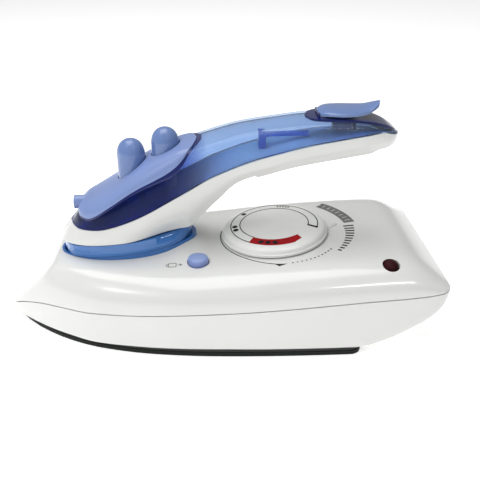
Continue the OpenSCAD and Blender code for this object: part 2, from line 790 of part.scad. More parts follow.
// Holes straight up into the underside of the grip at its two screws
module underside_holes(r, h) {
    for (x = grip_screw_x)
        translate([x, 0, keel_z(x) - 4])
            cylinder(h = h, r = r);
}

module handle_shell() color("white") difference() {
    slab([for (x = handle_x) [for (v = handle_v) hull_point(inner_handle_x(x), v, wall)]],
        [for (x = handle_x) [for (v = handle_v) hull_point(x, v, 0)]]);
    underside_holes(1.25, 9);
    underside_holes(2.45, 4.1);
    at_hinge()
        for (x = rocker_screw_x)
            translate([x, 0, band_top - 2])
                cylinder(h = 6, r = 1.25);
}

// Plate on the underside of the grip, following it
module grip_plate() color("white") difference() {
    slab([for (x = plate_x) [for (v = plate_v) hull_point(x, v, 0) - [0, 0, plate_gap]]],
        [for (x = plate_x) [for (v = plate_v) hull_point(x, v, 0) - [0, 0, plate_low]]]);
    underside_holes(2.5, 9);
}

module grip_screws() color("silver") for (x = grip_screw_x)
    translate([x, 0, keel_z(x) - 0.1])
        mirror([0, 0, 1])
            translate([0, 0, -0.1])
                union() {
                    cylinder(h = 0.9, r = 2.3);
                    translate([0, 0, -5])
                        cylinder(h = 5.5, r = 1.2);
                }

module rocker_screws() color("silver") at_hinge() for (x = rocker_screw_x)
    translate([x, 0, band_top - 1.85])
        mirror([0, 0, 1])
            union() {
                cylinder(h = 1.4, r = 2.6);
                translate([0, 0, -5])
                    cylinder(h = 5.5, r = 1.2);
            }

module button_wells(r) {
    for (c = [spray_c, steam_c])
        translate([c[0], 0, 62])
            cylinder(h = 30, r = r);
}

module nozzle_hole(r) {
    translate([-66, 0, nozzle_z])
        rotate([0, 90, 0])
            cylinder(h = 12, r = r);
}

module water_tank() color("mediumblue", 0.8) difference() {
    slab([for (x = handle_x) [for (v = handle_v) tank_point(x, v, 0)]],
        [for (x = handle_x) [for (v = handle_v) tank_point(inner_handle_x(x), v, 1.6)]]);
    button_wells(button_r + button_well);
    nozzle_hole(nozzle_r + 0.05);
    translate([filler_x, 0, 84])
        cylinder(h = 16, r = filler_r);
}

// Floor of the tank, let into the rim of the handle shell
module tank_base() color("mediumblue", 0.8) {
    floor_v = [for (j = [-4:4]) j / 4];
    slab([for (x = handle_x) let (u = inner_handle_x(x), w = max(0.3, along(grip_w, u) - 2.15))
            [for (v = floor_v) [u, v * w, along(joint_line, u)]]],
        [for (x = handle_x) let (u = inner_handle_x(x), w = max(0.3, along(grip_w, u) - 2.15))
            [for (v = floor_v) [u, v * w, along(joint_line, u) - 1.6]]]);
}

// Post and bar that stop the water surging in the grip
module tank_baffle() color("mediumblue", 0.8) {
    floor_z = along(joint_line, baffle_x + post_size[0]) + 0.1;
    translate([baffle_x, -post_size[1] / 2, floor_z])
        cube(post_size);
    translate([baffle_x + post_size[0] - 0.1, -bar_size[1] / 2, floor_z + post_size[2] - bar_size[2]])
        cube(bar_size);
}

// Skin lying on the tank between lo and hi above it, thinner over its last few millimetres
module tank_skin(reach, n, m, lo, hi, taper) {
    end = reach[len(reach) - 1][0];
    xs = stations(reach[0][0], end, n);
    vs = [for (j = [-m:m]) j / m];
    slab([for (x = xs) let (up = lo + 0.4 + (hi - lo - 0.4) * ease(end, end - taper, x))
            [for (v = vs) tank_point(x, v * along(reach, x), 0) + [0, 0, up]]],
        [for (x = xs) [for (v = vs) tank_point(x, v * along(reach, x), 0) + [0, 0, lo]]]);
}

module control_cover() color("cornflowerblue") difference() {
    tank_skin(cover_reach, 20, 6, 0.3, 1.5, 9);
    button_wells(button_r + 0.35);
    nozzle_hole(nozzle_r + 0.05);
}

module filler_tray() color("navy") difference() {
    union() {
        tank_skin(tray_reach, 14, 4, 0.1, 0.9, 2);
        for (s = [-1, 1])
            translate([flap_hinge[0], s * 4 + 0.6, flap_hinge[2]])
                rotate([90, 0, 0])
                    cylinder(h = 1.2, r = 1.1);
    }
    translate([filler_x, 0, 84])
        cylinder(h = 16, r = filler_r);
    translate([flap_hinge[0] - 1.5, -3.2, flap_hinge[2] - 1.5])
        cube([3.2, 6.4, 3]);
    translate([flap_hinge[0], 8, flap_hinge[2]])
        rotate([90, 0, 0])
            cylinder(h = 16, r = 0.6);
}

module filler_neck() color("navy") translate([filler_x, 0, 86.8])
    tube(5.5, filler_r - 0.1, filler_r - 1);

module flap_pin() color("silver") translate([flap_hinge[0], 4.6, flap_hinge[2]])
    rotate([90, 0, 0])
        cylinder(h = 9.2, r = 0.6);

function flap_point(x, v, t) = [x, v * along(flap_w, x), along(flap_top, x) - 0.7 * v ^ 2 - t];

module filler_flap() color("cornflowerblue") difference() {
    union() {
        xs = stations(40.9, 67.2, 16);
        vs = [for (j = [-4:4]) j / 4];
        slab([for (x = xs) [for (v = vs) flap_point(x, v, 0)]],
            [for (x = xs) [for (v = vs) flap_point(x, v, flap_t)]]);
        translate([flap_hinge[0], 3, flap_hinge[2]])
            rotate([90, 0, 0])
                cylinder(h = 6, r = 1.1);
    }
    for (s = [-1, 1])
        translate([flap_hinge[0] - 1.6, s * 4.4 - 1.3, flap_hinge[2] - 2])
            cube([3.2, 2.6, 4]);
    translate([flap_hinge[0], 8, flap_hinge[2]])
        rotate([90, 0, 0])
            cylinder(h = 16, r = 0.65);
}

module filler_seal() color("gray") translate([filler_x, 0, 91]) {
    cylinder(h = 1.8, r = 3.8);
    translate([0, 0, 1.4])
        cylinder(h = 0.4, r = filler_r - 0.1);
}

// ---- spray and steam ----

// Hollow bullet-shaped push button with its top at height z
module push_button(c, z, len) {
    r = button_r;
    wall_r = r - 1.4;
    translate([c[0], c[1], z - len])
        rotate_extrude()
            polygon(concat([[0, len - dome_h + 1], [wall_r, len - dome_h - 0.4], [wall_r, 0]],
                [[r, 0], [r, len - dome_h]],
                [for (a = [10:10:90]) [r * cos(a) ^ 0.9, len - dome_h * (1 - sin(a))]]));
}

module spray_nozzle() color("cornflowerblue") translate([-61.8, 0, nozzle_z]) rotate([0, 90, 0])
    difference() {
        union() {
            cylinder(h = 5.6, r = nozzle_r);
            cylinder(h = 7.4, r = 1.6);
        }
        translate([0, 0, -1])
            cylinder(h = 10, r = 0.6);
        translate([0, 0, -eps])
            cylinder(h = 0.8, r = 1.5);
    }

module pump_body(c, z, bore) {
    translate([c[0], c[1], z])
        difference() {
            cylinder(h = pump_h, r = 4.4);
            translate([0, 0, 1.2])
                cylinder(h = 10, r = bore);
        }
}

module spray_pump() color("ivory") pump_body(spray_c, spray_pump_z, rod_r + 0.05);
module steam_valve() color("ivory") pump_body(steam_c, steam_valve_z, rod_r + 0.05);

module rod(c, z, top) {
    translate([c[0], c[1], z])
        cylinder(h = top - z, r = rod_r);
}

module spray_button() color("cornflowerblue") push_button(spray_c, spray_top, spray_len);
module steam_button() color("cornflowerblue") push_button(steam_c, steam_top, steam_len);
module spray_piston() color("silver") rod(spray_c, spray_pump_z + 5, spray_top - dome_h + 0.2);
module valve_rod() color("silver") rod(steam_c, steam_valve_z + 5, steam_top - dome_h + 0.2);

module spray_spring() color("silver") translate([spray_c[0], 0, spray_pump_z + pump_h + 0.05])
    spring(spray_top - dome_h - 0.7 - spray_pump_z - pump_h - 0.05, 2.8, 0.35, 6);
module steam_spring() color("silver") translate([steam_c[0], 0, steam_valve_z + pump_h + 0.05])
    spring(steam_top - dome_h - 0.7 - steam_valve_z - pump_h - 0.05, 2.8, 0.35, 6);

module spray_tube() color("white")
    bar([-54, 0, nozzle_z], [-41, 0, spray_pump_z + 2.6], 1.2);

module pickup_tube() color("white")
    bar([-30.4, 1, spray_pump_z + 4], [-22, 8, 65], 1);

soleplate();
sole_gasket();
steam_chamber();
chamber_cover();
heating_element();
heat_shield();
skirt();
upper_shell();
collar();
hinge_bracket();
hinge_pin();
thermostat();
pilot_lens();
pilot_lamp();
thermal_fuse();
terminal_block();
cord_bush();
cord_clamp();
wiring();
sole_screws();
shell_screws();
latch_guide();
release_spring();
latch_spring();
dial_knob();
thermostat_shaft();
release_button();
latch_bolt();
handle_shell();
grip_plate();
water_tank();
tank_base();
tank_baffle();
control_cover();
rocker();
spray_nozzle();
spray_pump();
steam_valve();
spray_spring();
steam_spring();
spray_tube();
pickup_tube();
filler_tray();
filler_neck();
flap_pin();
grip_screws();
rocker_screws();
spray_button();
spray_piston();
steam_button();
valve_rod();
filler_flap();
filler_seal();
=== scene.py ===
import json
import math

import bmesh
import bpy
from mathutils import Matrix, Vector

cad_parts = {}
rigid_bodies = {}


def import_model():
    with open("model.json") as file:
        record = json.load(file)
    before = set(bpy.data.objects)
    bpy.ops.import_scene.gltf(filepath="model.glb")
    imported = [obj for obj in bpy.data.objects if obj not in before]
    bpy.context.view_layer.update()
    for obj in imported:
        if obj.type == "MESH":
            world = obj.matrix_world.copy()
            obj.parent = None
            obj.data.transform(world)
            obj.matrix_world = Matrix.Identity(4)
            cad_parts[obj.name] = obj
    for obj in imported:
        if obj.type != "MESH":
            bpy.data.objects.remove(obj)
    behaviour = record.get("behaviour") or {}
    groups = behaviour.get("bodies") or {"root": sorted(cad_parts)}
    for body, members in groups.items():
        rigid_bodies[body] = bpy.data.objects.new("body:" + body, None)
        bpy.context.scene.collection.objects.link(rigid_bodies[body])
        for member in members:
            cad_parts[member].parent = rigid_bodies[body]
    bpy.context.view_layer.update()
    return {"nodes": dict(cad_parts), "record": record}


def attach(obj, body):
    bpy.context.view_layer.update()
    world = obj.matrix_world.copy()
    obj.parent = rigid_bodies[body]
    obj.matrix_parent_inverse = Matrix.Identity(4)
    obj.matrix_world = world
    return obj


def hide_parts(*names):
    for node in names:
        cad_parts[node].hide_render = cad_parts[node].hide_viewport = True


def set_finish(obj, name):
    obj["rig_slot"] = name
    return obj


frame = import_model()
MM = 0.001

# ---- the shape of the body and the handle, in millimetres, as in the CAD model ----
# A LINE or a TOP holds pairs of an X and a height, and a SHARE, REACH or W holds pairs of an X and a half
# width or a share of one. along() runs smoothly through them. CORNERS are shares of the half width and of
# the height of a cross-section, which bend() rounds.

# Body: width, wall, and where its outer and its inner surface start and end
BODY_W = 85
WALL = 2
ROOF_SHARE = 1.1  # wall under the deck, as a share of WALL
SEAM_GAP = 0.5
NOSE_X, HEEL_X = -95, 95
INNER_NOSE_X, INNER_HEEL_X = -88, 92.2
BODY_SHARE = [(-95, 0.015), (-92, 0.13), (-85, 0.29), (-75, 0.475), (-65, 0.625), (-54, 0.76),
              (-34, 0.875), (-15, 0.937), (8, 0.974), (25, 0.993), (50, 1), (80, 0.99), (90, 0.965),
              (93.5, 0.92), (95, 0.85)]
SEAM_LINE = [(-95, 6), (-88, 11), (-76, 15.8), (-54, 18.7), (-34, 19.9), (-15, 21.2), (8, 22.6),
             (25, 24), (58, 26.7), (80, 28), (95, 29.2)]
TOP_LINE = [(-95, 6.4), (-90, 12.6), (-80, 23.4), (-72, 31.5), (-67, 33.6), (-50, 34), (-20, 34.6),
            (-7, 35.2), (33, 38), (65, 39.3), (76, 39.2), (80, 38.5), (84, 36.8), (90, 33.2), (95, 29.8)]
MOUND_LINE = [(-80, 0), (-70, 0.3), (-60, 0.7), (-40, 1.9), (-24, 3.6), (-15, 4.7), (-8, 3),
              (-2, 0.6), (2, 0)]
MOUND_W = 28
BELLY_LINE = [(-95, 3.26), (40, 3.26), (50, 3.26), (60, 3.7), (70, 7.2), (80, 12.6), (88, 18),
              (92, 22.6), (95, 28.2)]
DECK_CORNERS = [(0, 1), (0.42, 1), (0.74, 0.99), (0.94, 0.64), (1, 0.32), (1, 0)]
BELLY_CORNERS = [(0, 1), (0.5, 1), (0.93, 1), (0.985, 0.985), (0.997, 0.5), (1, 0)]

# Handle: its lower shell, a little wider below, reaches up to the joint line, and the tank stands on that
HANDLE_FROM, HANDLE_TO = -64, 76.2
HANDLE_IN_FROM, HANDLE_IN_TO = -58, 73.6
TANK_WALL = 1.6
LEAST_W, LEAST_H = 0.4, 0.3  # half width and height that are left at the two ends
GRIP_W = [(-64, 0.6), (-62.5, 5.5), (-59, 10.5), (-52, 14.8), (-44, 16.6), (-34, 16.8), (-22, 15.8),
          (-8, 14.2), (10, 13.2), (45, 13), (60, 12), (68, 9.6), (73, 6.4), (75.4, 3), (76.2, 0.6)]
JOINT_LINE = [(-64, 47.8), (-60, 47.2), (-55, 47.8), (-49, 48.8), (-43, 50.6), (-34, 54), (-28, 56.8),
              (-22, 60), (-10, 66.4), (-4, 69.8), (4, 73.2), (11, 75.9), (19, 78.4), (27, 80.5),
              (38, 83.1), (52, 85.4), (60, 86.4), (68, 86.9), (74, 85), (76.2, 84.2)]
JOINT_GAP = 0.2
FOOT_END = -12.2
KEEL_LINE = [(FOOT_END, 45.7), (-9.8, 48.5), (-6.2, 52), (-2.4, 56.3), (1.4, 60.2), (4.5, 63.8),
             (8, 66.8), (13, 69), (21, 71), (27, 72.8), (37, 75), (53, 77.6), (60, 78.6), (66, 79.3),
             (71, 79.8), (74, 81), (76.2, 82.6)]
TANK_TOP = [(-64, 49.6), (-61.5, 53.6), (-58, 56.8), (-54, 58.6), (-50, 60.6), (-43, 64.6), (-30, 73.6),
            (-16, 80.2), (-8, 82.8), (0, 85.4), (8, 87.6), (16, 89), (26, 90.3), (35, 91.3), (45, 91.8),
            (55, 91.5), (64, 90.2), (70, 88.2), (74, 86), (76.2, 84.7)]
PROW_LINE = [(-64, 5.6), (-56, 4), (-40, 1), (-25, 0), (76.2, 0)]
BASE_SPREAD = 1.04  # width of the lower shell's underside, as a share of that at the joint line

# What lies on the tank: half widths of the cover and the tray as shares of the tank's, and the flap
COVER_REACH = [(-60.8, 0.5), (-59.4, 0.7), (-57, 0.79), (-54, 0.81), (-46, 0.72), (-38, 0.68),
               (-24, 0.7), (-18, 0.67), (-14, 0.57), (-11, 0.36), (-8.5, 0.04)]
TRAY_REACH = [(36.5, 0.03), (38.5, 0.19), (42, 0.3), (48, 0.37), (55, 0.4), (62, 0.43), (67, 0.45),
              (71, 0.44), (73.6, 0.34), (75, 0.05)]
FLAP_W = [(40.9, 2.6), (43, 5.6), (46, 7.4), (51, 8.4), (56, 8), (60, 6.8), (64, 4.8), (66.4, 2.8),
          (67.2, 1)]
FLAP_TOP = [(40.9, 94.3), (45, 95.3), (52, 95.3), (58, 95.4), (62, 95.9), (65, 97), (67.2, 98)]

# Collar, and the rocker in it; OVAL is the middle, half length and half width of the opening
HINGE = Vector((-15, 0, 37))
RIM_TILT = 6
RIM_H = 2.6
BAND_TOP = 8.2
OVAL = (-24.6, 28.8, 14.9)
NOSE_FULLNESS = 0.92
COLLAR_WALL = 1.3
COLLAR_H = 5.2
ROCKER_GAP = 0.5

# Centres and radii of what sits in the shells
DIAL_C = Vector((25.3, 0, 37.4))
DECK_TILT = 4
DIAL_R = 23.6
DIAL_H = 4.8
SHAFT_HOLE_R = 4.2
RELEASE_C = Vector((-9, -20.8, 34.6))
RELEASE_R = 4.4
LAMP_C = Vector((70.2, -31.3, 36.5))
LAMP_LEAN = 31
LAMP_R = 3.5
BUTTON_R = 5.9
SPRAY_X, STEAM_X = -36, -21.5
NOZZLE_X, NOZZLE_Z = -66, 55.2
NOZZLE_R = 2.9
FILLER_X = 53
FILLER_R = 5.2
SHELL_SCREWS = [(72, 19), (72, -19)]
SCREW_HOLE_R = 3.2
SCREW_HOLE_TOP = 8.9
INLET_C = Vector((82.4, 0, 22.8))
INLET_R = 5.3


def ease(a, b, k):
    """0 at a and before it, 1 at b and beyond, and a smooth step between"""
    t = min(1, max(0, (k - a) / (b - a)))
    return t * t * (3 - 2 * t)


def along(p, x):
    """Height at x of a smooth curve through points p"""
    i = 0
    while i < len(p) - 2 and x > p[i + 1][0]:
        i += 1
    h = p[i + 1][0] - p[i][0]
    t = (x - p[i][0]) / h

    def slope(k):
        a, b = max(k - 1, 0), min(k + 1, len(p) - 1)
        return (p[b][1] - p[a][1]) / (p[b][0] - p[a][0])

    return ((2 * t ** 3 - 3 * t ** 2 + 1) * p[i][1] + (t ** 3 - 2 * t ** 2 + t) * h * slope(i)
            + (3 * t ** 2 - 2 * t ** 3) * p[i + 1][1] + (t ** 3 - t ** 2) * h * slope(i + 1))


def bend(q, t):
    """Point at t, from 0 to 1, on a smooth curve drawn inside the corners q"""
    n = len(q) - 2
    s = min(int(t * n), n - 1)
    u = t * n - s
    a = q[0] if s == 0 else ((q[s][0] + q[s + 1][0]) / 2, (q[s][1] + q[s + 1][1]) / 2)
    b = q[n + 1] if s == n - 1 else ((q[s + 1][0] + q[s + 2][0]) / 2, (q[s + 1][1] + q[s + 2][1]) / 2)
    return tuple(a[k] * (1 - u) ** 2 + 2 * q[s + 1][k] * u * (1 - u) + b[k] * u ** 2 for k in (0, 1))


def stations(a, b, n, even=0.0):
    """n + 1 stations from a to b, closer together at both ends unless even is 1"""
    return [a + (b - a) * (even * i / n + (1 - even) * (1 - math.cos(math.pi * i / n)) / 2)
            for i in range(n + 1)]


def half_w(x):
    """Half width of the body at x"""
    return along(BODY_SHARE, x) * BODY_W / 2


def inner_x(x):
    """Squeezes X of the body's outer surface onto its inner one, which stops short at both ends"""
    return INNER_NOSE_X + (x - NOSE_X) * (INNER_HEEL_X - INNER_NOSE_X) / (HEEL_X - NOSE_X)


def mound(x, y):
    """Height of the low mound round the collar"""
    if x < MOUND_LINE[0][0] or x > MOUND_LINE[-1][0] or abs(y) > MOUND_W:
        return 0
    return along(MOUND_LINE, x) * (1 - (y / MOUND_W) ** 2) ** 2


# Points of the four shells: v runs across them from -1 to 1, and t is the depth below the surface

def deck_point(x, v, t=0):
    q = bend(DECK_CORNERS, abs(v))
    z0 = along(SEAM_LINE, x) + SEAM_GAP / 2
    y = math.copysign(q[0], v) * (half_w(x) - t)
    return (x, y, z0 + q[1] * (along(TOP_LINE, x) - ROOF_SHARE * t - z0) + mound(x, y))


def belly_point(x, v, t=0):
    q = bend(BELLY_CORNERS, abs(v))
    z0 = along(SEAM_LINE, x) - SEAM_GAP / 2
    return (x, math.copysign(q[0], v) * (half_w(x) - t), z0 - q[1] * (z0 - along(BELLY_LINE, x) - t))


def base_z(x):
    """Underside of the handle's foot: the tilted plane of the rocker's top"""
    tilt = math.radians(RIM_TILT)
    return HINGE.z + (BAND_TOP + 0.1) / math.cos(tilt) + (x - HINGE.x) * math.tan(tilt)


def hull_point(x, v, t=0):
    # the flat underside narrows with the collar and then widens into the grip
    foot = 0.98 - 0.4 * ease(-40, -16, x) + 0.24 * ease(-12, 14, x)
    q = bend([(0, 0), (foot * 0.5, 0), (foot, 0), (foot + 0.03, 0.12), (1.03, 0.6), (1, 1)], abs(v))
    w = max(LEAST_W, along(GRIP_W, x) * BASE_SPREAD ** (1 - q[1]) - t)
    xx = x - along(PROW_LINE, x) * (1 - q[1])
    zk = (base_z(xx) if x < FOOT_END else along(KEEL_LINE, x)) + t
    zj = along(JOINT_LINE, x) - JOINT_GAP / 2
    return (xx, math.copysign(q[0], v) * w, zk + (zj - zk) * q[1])


def tank_point(x, v, t=0, lift=0):
    # k is 1 over the head, where the tank's top is narrower
    k = ease(-6, -30, x)
    q = bend([(0, 1), (0.45 - 0.15 * k, 1), (0.84 - 0.06 * k, 0.94 - 0.02 * k), (1, 0.5), (1, 0)], abs(v))
    w = max(LEAST_W, along(GRIP_W, x) - t)
    zj = along(JOINT_LINE, x) + JOINT_GAP / 2
    h = max(along(TANK_TOP, x) - t - zj, LEAST_H)
    return (x + along(PROW_LINE, x) * 0.35 * q[1] * ease(0, -64, x), math.copysign(q[0], v) * w,
            zj + q[1] * h + lift)


def inner_handle_x(x):
    """Squeezes X of the handle's outer surface onto its inner one"""
    return HANDLE_IN_FROM + (x - HANDLE_FROM) * (HANDLE_IN_TO - HANDLE_IN_FROM) / (HANDLE_TO - HANDLE_FROM)


def oval(g=0, n=160):
    """Oval of the collar's opening grown by g, in the collar's own frame, fuller at the nose end"""
    mid, half_l, half_wide = OVAL
    out = []
    for i in range(n):
        t = 2 * math.pi * i / n
        c = math.cos(t)
        fullness = NOSE_FULLNESS if c < 0 else 1
        out.append((mid + (half_l + g) * math.copysign(abs(c) ** fullness, c), (half_wide + g) * math.sin(t)))
    return out


FACING_X = Matrix.Rotation(math.radians(90), 4, "Y")
AT_HINGE = Matrix.Translation(HINGE) @ Matrix.Rotation(math.radians(-RIM_TILT), 4, "Y")
AT_DIAL = Matrix.Translation(DIAL_C) @ Matrix.Rotation(math.radians(-DECK_TILT), 4, "Y")
AT_RELEASE = Matrix.Translation(RELEASE_C)
AT_LAMP = Matrix.Translation(LAMP_C) @ Matrix.Rotation(math.radians(LAMP_LEAN), 4, "X")
AT_INLET = Matrix.Translation(INLET_C) @ FACING_X
AT_NOZZLE = Matrix.Translation((NOZZLE_X, 0, NOZZLE_Z)) @ FACING_X
AT_FILLER = Matrix.Translation((FILLER_X, 0, 0))

# ---- mesh helpers: points in millimetres, objects in metres ----


def piece(name, verts, faces, place=None, sharp=38, smooth=True):
    """New object of verts, put in place by a matrix, and faces"""
    if place is not None:
        verts = [place @ Vector(v) for v in verts]
    mesh = bpy.data.meshes.new(name)
    mesh.from_pydata([tuple(c * MM for c in v) for v in verts], [], faces)
    obj = bpy.data.objects.new(name, finished(mesh, sharp, smooth))
    bpy.context.scene.collection.objects.link(obj)
    return obj


def finished(mesh, sharp=38, smooth=True):
    """Cleans the mesh, turns its faces outwards and smooths it, except over edges of sharp degrees"""
    bm = bmesh.new()
    bm.from_mesh(mesh)
    bmesh.ops.remove_doubles(bm, verts=bm.verts, dist=1e-7)
    bmesh.ops.dissolve_degenerate(bm, edges=bm.edges, dist=1e-7)
    bmesh.ops.recalc_face_normals(bm, faces=bm.faces)
    bm.to_mesh(mesh)
    bm.free()
    mesh.polygons.foreach_set("use_smooth", [smooth] * len(mesh.polygons))
    if smooth:
        mesh.set_sharp_from_angle(angle=math.radians(sharp))
    return mesh


def grid_faces(n, m, start=0, flip=False, wrap=False):
    """Faces of a grid of n rows of m points, closed round each row if wrap is set"""
    out = []
    for i in range(n - 1):
        for j in range(m if wrap else m - 1):
            a, b = start + i * m + j, start + i * m + (j + 1) % m
            q = (a, b, b + m, a + m)
            out.append(q[::-1] if flip else q)
    return out


def slab(name, outer, inner, sharp=38):
    """Closed shell between two grids of points of the same size"""
    n, m = len(outer), len(outer[0])
    o = n * m
    faces = grid_faces(n, m) + grid_faces(n, m, o, True)
    for i in range(n - 1):
        faces.append((i * m, i * m + m, o + i * m + m, o + i * m))
        faces.append((i * m + m - 1, o + i * m + m - 1, o + i * m + 2 * m - 1, i * m + 2 * m - 1))
    for j in range(m - 1):
        faces.append((j, o + j, o + j + 1, j + 1))
        faces.append((o - m + j, o - m + j + 1, 2 * o - m + j + 1, 2 * o - m + j))
    return piece(name, [p for r in outer for p in r] + [p for r in inner for p in r], faces, sharp=sharp)


def walled(name, point, xs, vs, inner, wall):
    """Closed shell with the outer surface that point describes, and with an inner one at inner(x)"""
    return slab(name, [[point(x, v) for v in vs] for x in xs],
                [[point(inner(x), v, wall) for v in vs] for x in xs])


def rings(name, loops, place=None, caps=True, sharp=38):
    """Surface through closed loops of the same number of points, capped at both ends if caps is set"""
    m = len(loops[0])
    faces = grid_faces(len(loops), m, wrap=True)
    if caps:
        faces += [tuple(range(m))[::-1], tuple(range((len(loops) - 1) * m, len(loops) * m))]
    return piece(name, [p for r in loops for p in r], faces, place, sharp)


def lathe(name, profile, place, n):
    """Closed solid of revolution about Z: profile runs from the axis at one end to the axis at the other"""
    circle = [(math.cos(2 * math.pi * i / n), math.sin(2 * math.pi * i / n)) for i in range(n)]
    return rings(name, [[(r * c, r * s, z) for c, s in circle] for r, z in profile], place)


def rounded(profile, steps=5):
    """Profile with every inner corner turned into a short curve"""
    out = [profile[0]]
    for a, b, c in zip(profile, profile[1:], profile[2:]):
        p = ((a[0] + b[0] * 2) / 3, (a[1] + b[1] * 2) / 3)
        q = ((c[0] + b[0] * 2) / 3, (c[1] + b[1] * 2) / 3)
        for i in range(steps + 1):
            t = i / steps
            out.append(tuple(p[k] * (1 - t) ** 2 + 2 * b[k] * t * (1 - t) + q[k] * t * t for k in (0, 1)))
    return out + [profile[-1]]


def cut(obj, *tools):
    """Takes the tools away from obj and removes them"""
    for tool in tools:
        mod = obj.modifiers.new("cut", "BOOLEAN")
        mod.operation, mod.solver, mod.object = "DIFFERENCE", "EXACT", tool
    bpy.context.view_layer.update()
    mesh = bpy.data.meshes.new_from_object(obj.evaluated_get(bpy.context.evaluated_depsgraph_get()))
    obj.modifiers.clear()
    for tool in tools:
        bpy.data.objects.remove(tool)
    obj.data = finished(mesh)
    return obj


def rod(r, a, b, place):
    """Cutter for a round hole from height a to height b"""
    return lathe("cutter", [(0.001, a), (r, a), (r, b), (0.001, b)], place, 96)


def oval_block(g, a, b):
    """Cutter for an oval hole from height a to height b"""
    return rings("cutter", [[(x, y, z) for x, y in oval(g)] for z in (a, b)], AT_HINGE)


# ---- body shells; all holes go through but the screws' ----

body_x = stations(NOSE_X, HEEL_X, 150, 0.6)
body_v = [j / 40 for j in range(-40, 41)]
upper = walled("upper_shell_skin", deck_point, body_x, body_v, inner_x, WALL)
upper = cut(upper, oval_block(COLLAR_WALL + 0.05, -8, 4), rod(SHAFT_HOLE_R, -6, 3, AT_DIAL),
            rod(RELEASE_R + 0.3, -6, 6, AT_RELEASE), rod(LAMP_R + 0.12, -6, 6, AT_LAMP))
skirt = walled("skirt_skin", belly_point, body_x, body_v, inner_x, WALL)
skirt = cut(skirt, rod(INLET_R, 0, 14, AT_INLET),
            *[rod(SCREW_HOLE_R, 0, SCREW_HOLE_TOP, Matrix.Translation((x, y, 0))) for x, y in SHELL_SCREWS])

# ---- collar ----

LIP_BACK = 1.6  # how much further in the inner half stands
collar_foot = RIM_H - COLLAR_H
# section of the wall, clockwise from the foot of its inner face: distance out from the opening and height
lip = [(0.25, collar_foot), (0.0, collar_foot + 0.3), (0.0, RIM_H - 0.45), (0.12, RIM_H - 0.12), (0.4, RIM_H),
       (0.95, RIM_H - 0.01), (1.18, RIM_H - 0.06), (1.27, RIM_H - 0.2), (COLLAR_WALL, RIM_H - 0.45),
       (COLLAR_WALL, collar_foot + 0.4), (1.0, collar_foot)]


def lip_loop(g, z):
    """Loop of the collar's wall: its inner half stands further in behind the hinge"""
    back = [0.0 if g > 0.7 else ease(-2, 2, x) for x, _ in oval()]
    return [(p[0] + (q[0] - p[0]) * k, p[1] + (q[1] - p[1]) * k, z)
            for p, q, k in zip(oval(g), oval(g - LIP_BACK), back)]


collar = rings("collar_ring", [lip_loop(g, z) for g, z in lip + lip[:1]], AT_HINGE, caps=False, sharp=60)

# ---- band of the rocker, above the collar ----

BAND_FOOT = RIM_H + 0.06
BAND_RISE = 0.46  # slope of the underside behind RISE_X
RISE_X = -0.7
PROW_TUCK = 2.6
band_h = BAND_TOP - RIM_H - 0.11
# section of the band: distance out from the opening and share of its height
swell = [(-1.2, 0), (1.22, 0), (1.4, 0.03), (1.65, 0.1), (1.82, 0.2), (1.85, 0.32), (1.7, 0.48),
         (1.4, 0.66), (0.95, 0.83), (0.45, 0.96), (-1.2, 1)]


def band_loop(g, z):
    """Loop of the rocker's band: in front of the hinge it reaches out over the collar and is tucked in at
    the nose, and behind the hinge its underside rises to clear the collar when the handle folds"""
    out = []
    for (px, py), (qx, qy) in zip(oval(-ROCKER_GAP), oval(g)):
        k = ease(5, -7, px)
        x = px + (qx - px) * k + PROW_TUCK * ease(-44, -53, px)
        out.append((x, py + (qy - py) * k, max(z, BAND_FOOT + BAND_RISE * max(0, x - RISE_X))))
    return out


band = rings("rocker_band", [band_loop(g, BAND_FOOT + band_h * k) for g, k in swell], AT_HINGE, sharp=55)

# ---- handle: lower shell, tank and tank floor ----

handle_x = stations(HANDLE_FROM, HANDLE_TO, 150, 0.5)
handle_v = [j / 28 for j in range(-28, 29)]


def wells(r):
    """Cutters of radius r for the wells of the two buttons"""
    return [rod(r, 62, 92, Matrix.Translation((x, 0, 0))) for x in (SPRAY_X, STEAM_X)]


hull = walled("handle_shell_skin", hull_point, handle_x, handle_v, inner_handle_x, WALL)
tank = walled("water_tank_skin", tank_point, handle_x, handle_v, inner_handle_x, TANK_WALL)
tank = cut(tank, *wells(BUTTON_R + 0.6), rod(NOZZLE_R + 0.05, 0, 12, AT_NOZZLE),
           rod(FILLER_R, 84, 100, AT_FILLER))

FLOOR_INSET = 2.15
FLOOR_T = 1.6


def floor_row(x, drop):
    """Row of points across the tank at x, drop below the joint line"""
    u = inner_handle_x(x)
    w = max(0.3, along(GRIP_W, u) - FLOOR_INSET)
    return [(u, w * k / 4, along(JOINT_LINE, u) - drop) for k in range(-4, 5)]


tank_floor = slab("tank_base_skin", [floor_row(x, 0) for x in handle_x],
                  [floor_row(x, FLOOR_T) for x in handle_x])

# ---- skins that lie on the tank: control cover, a dark band round it as painted shadow of the gap, filler tray ----


SKIN_END = 0.4    # thickness at the rear end
SKIN_EDGE = 0.45  # thickness along the edge, as a share of that in the middle


def skin(name, reach, n, m, lo, hi, taper):
    """Skin as wide as reach gives, from lo to hi above the tank, which it reaches over taper millimetres
    from its rear end; n and m are its divisions along and across one half"""
    end = reach[-1][0]
    xs = stations(reach[0][0], end, n, 0.3)
    vs = [j / m for j in range(-m, m + 1)]

    def row(x, up):
        r = along(reach, x)
        return [tank_point(x, v * r, 0, up if abs(v) < 0.999 else lo + (up - lo) * SKIN_EDGE) for v in vs]

    tops = [lo + SKIN_END + (hi - lo - SKIN_END) * ease(end, end - taper, x) for x in xs]
    return slab(name, [row(x, up) for x, up in zip(xs, tops)], [row(x, lo) for x in xs])


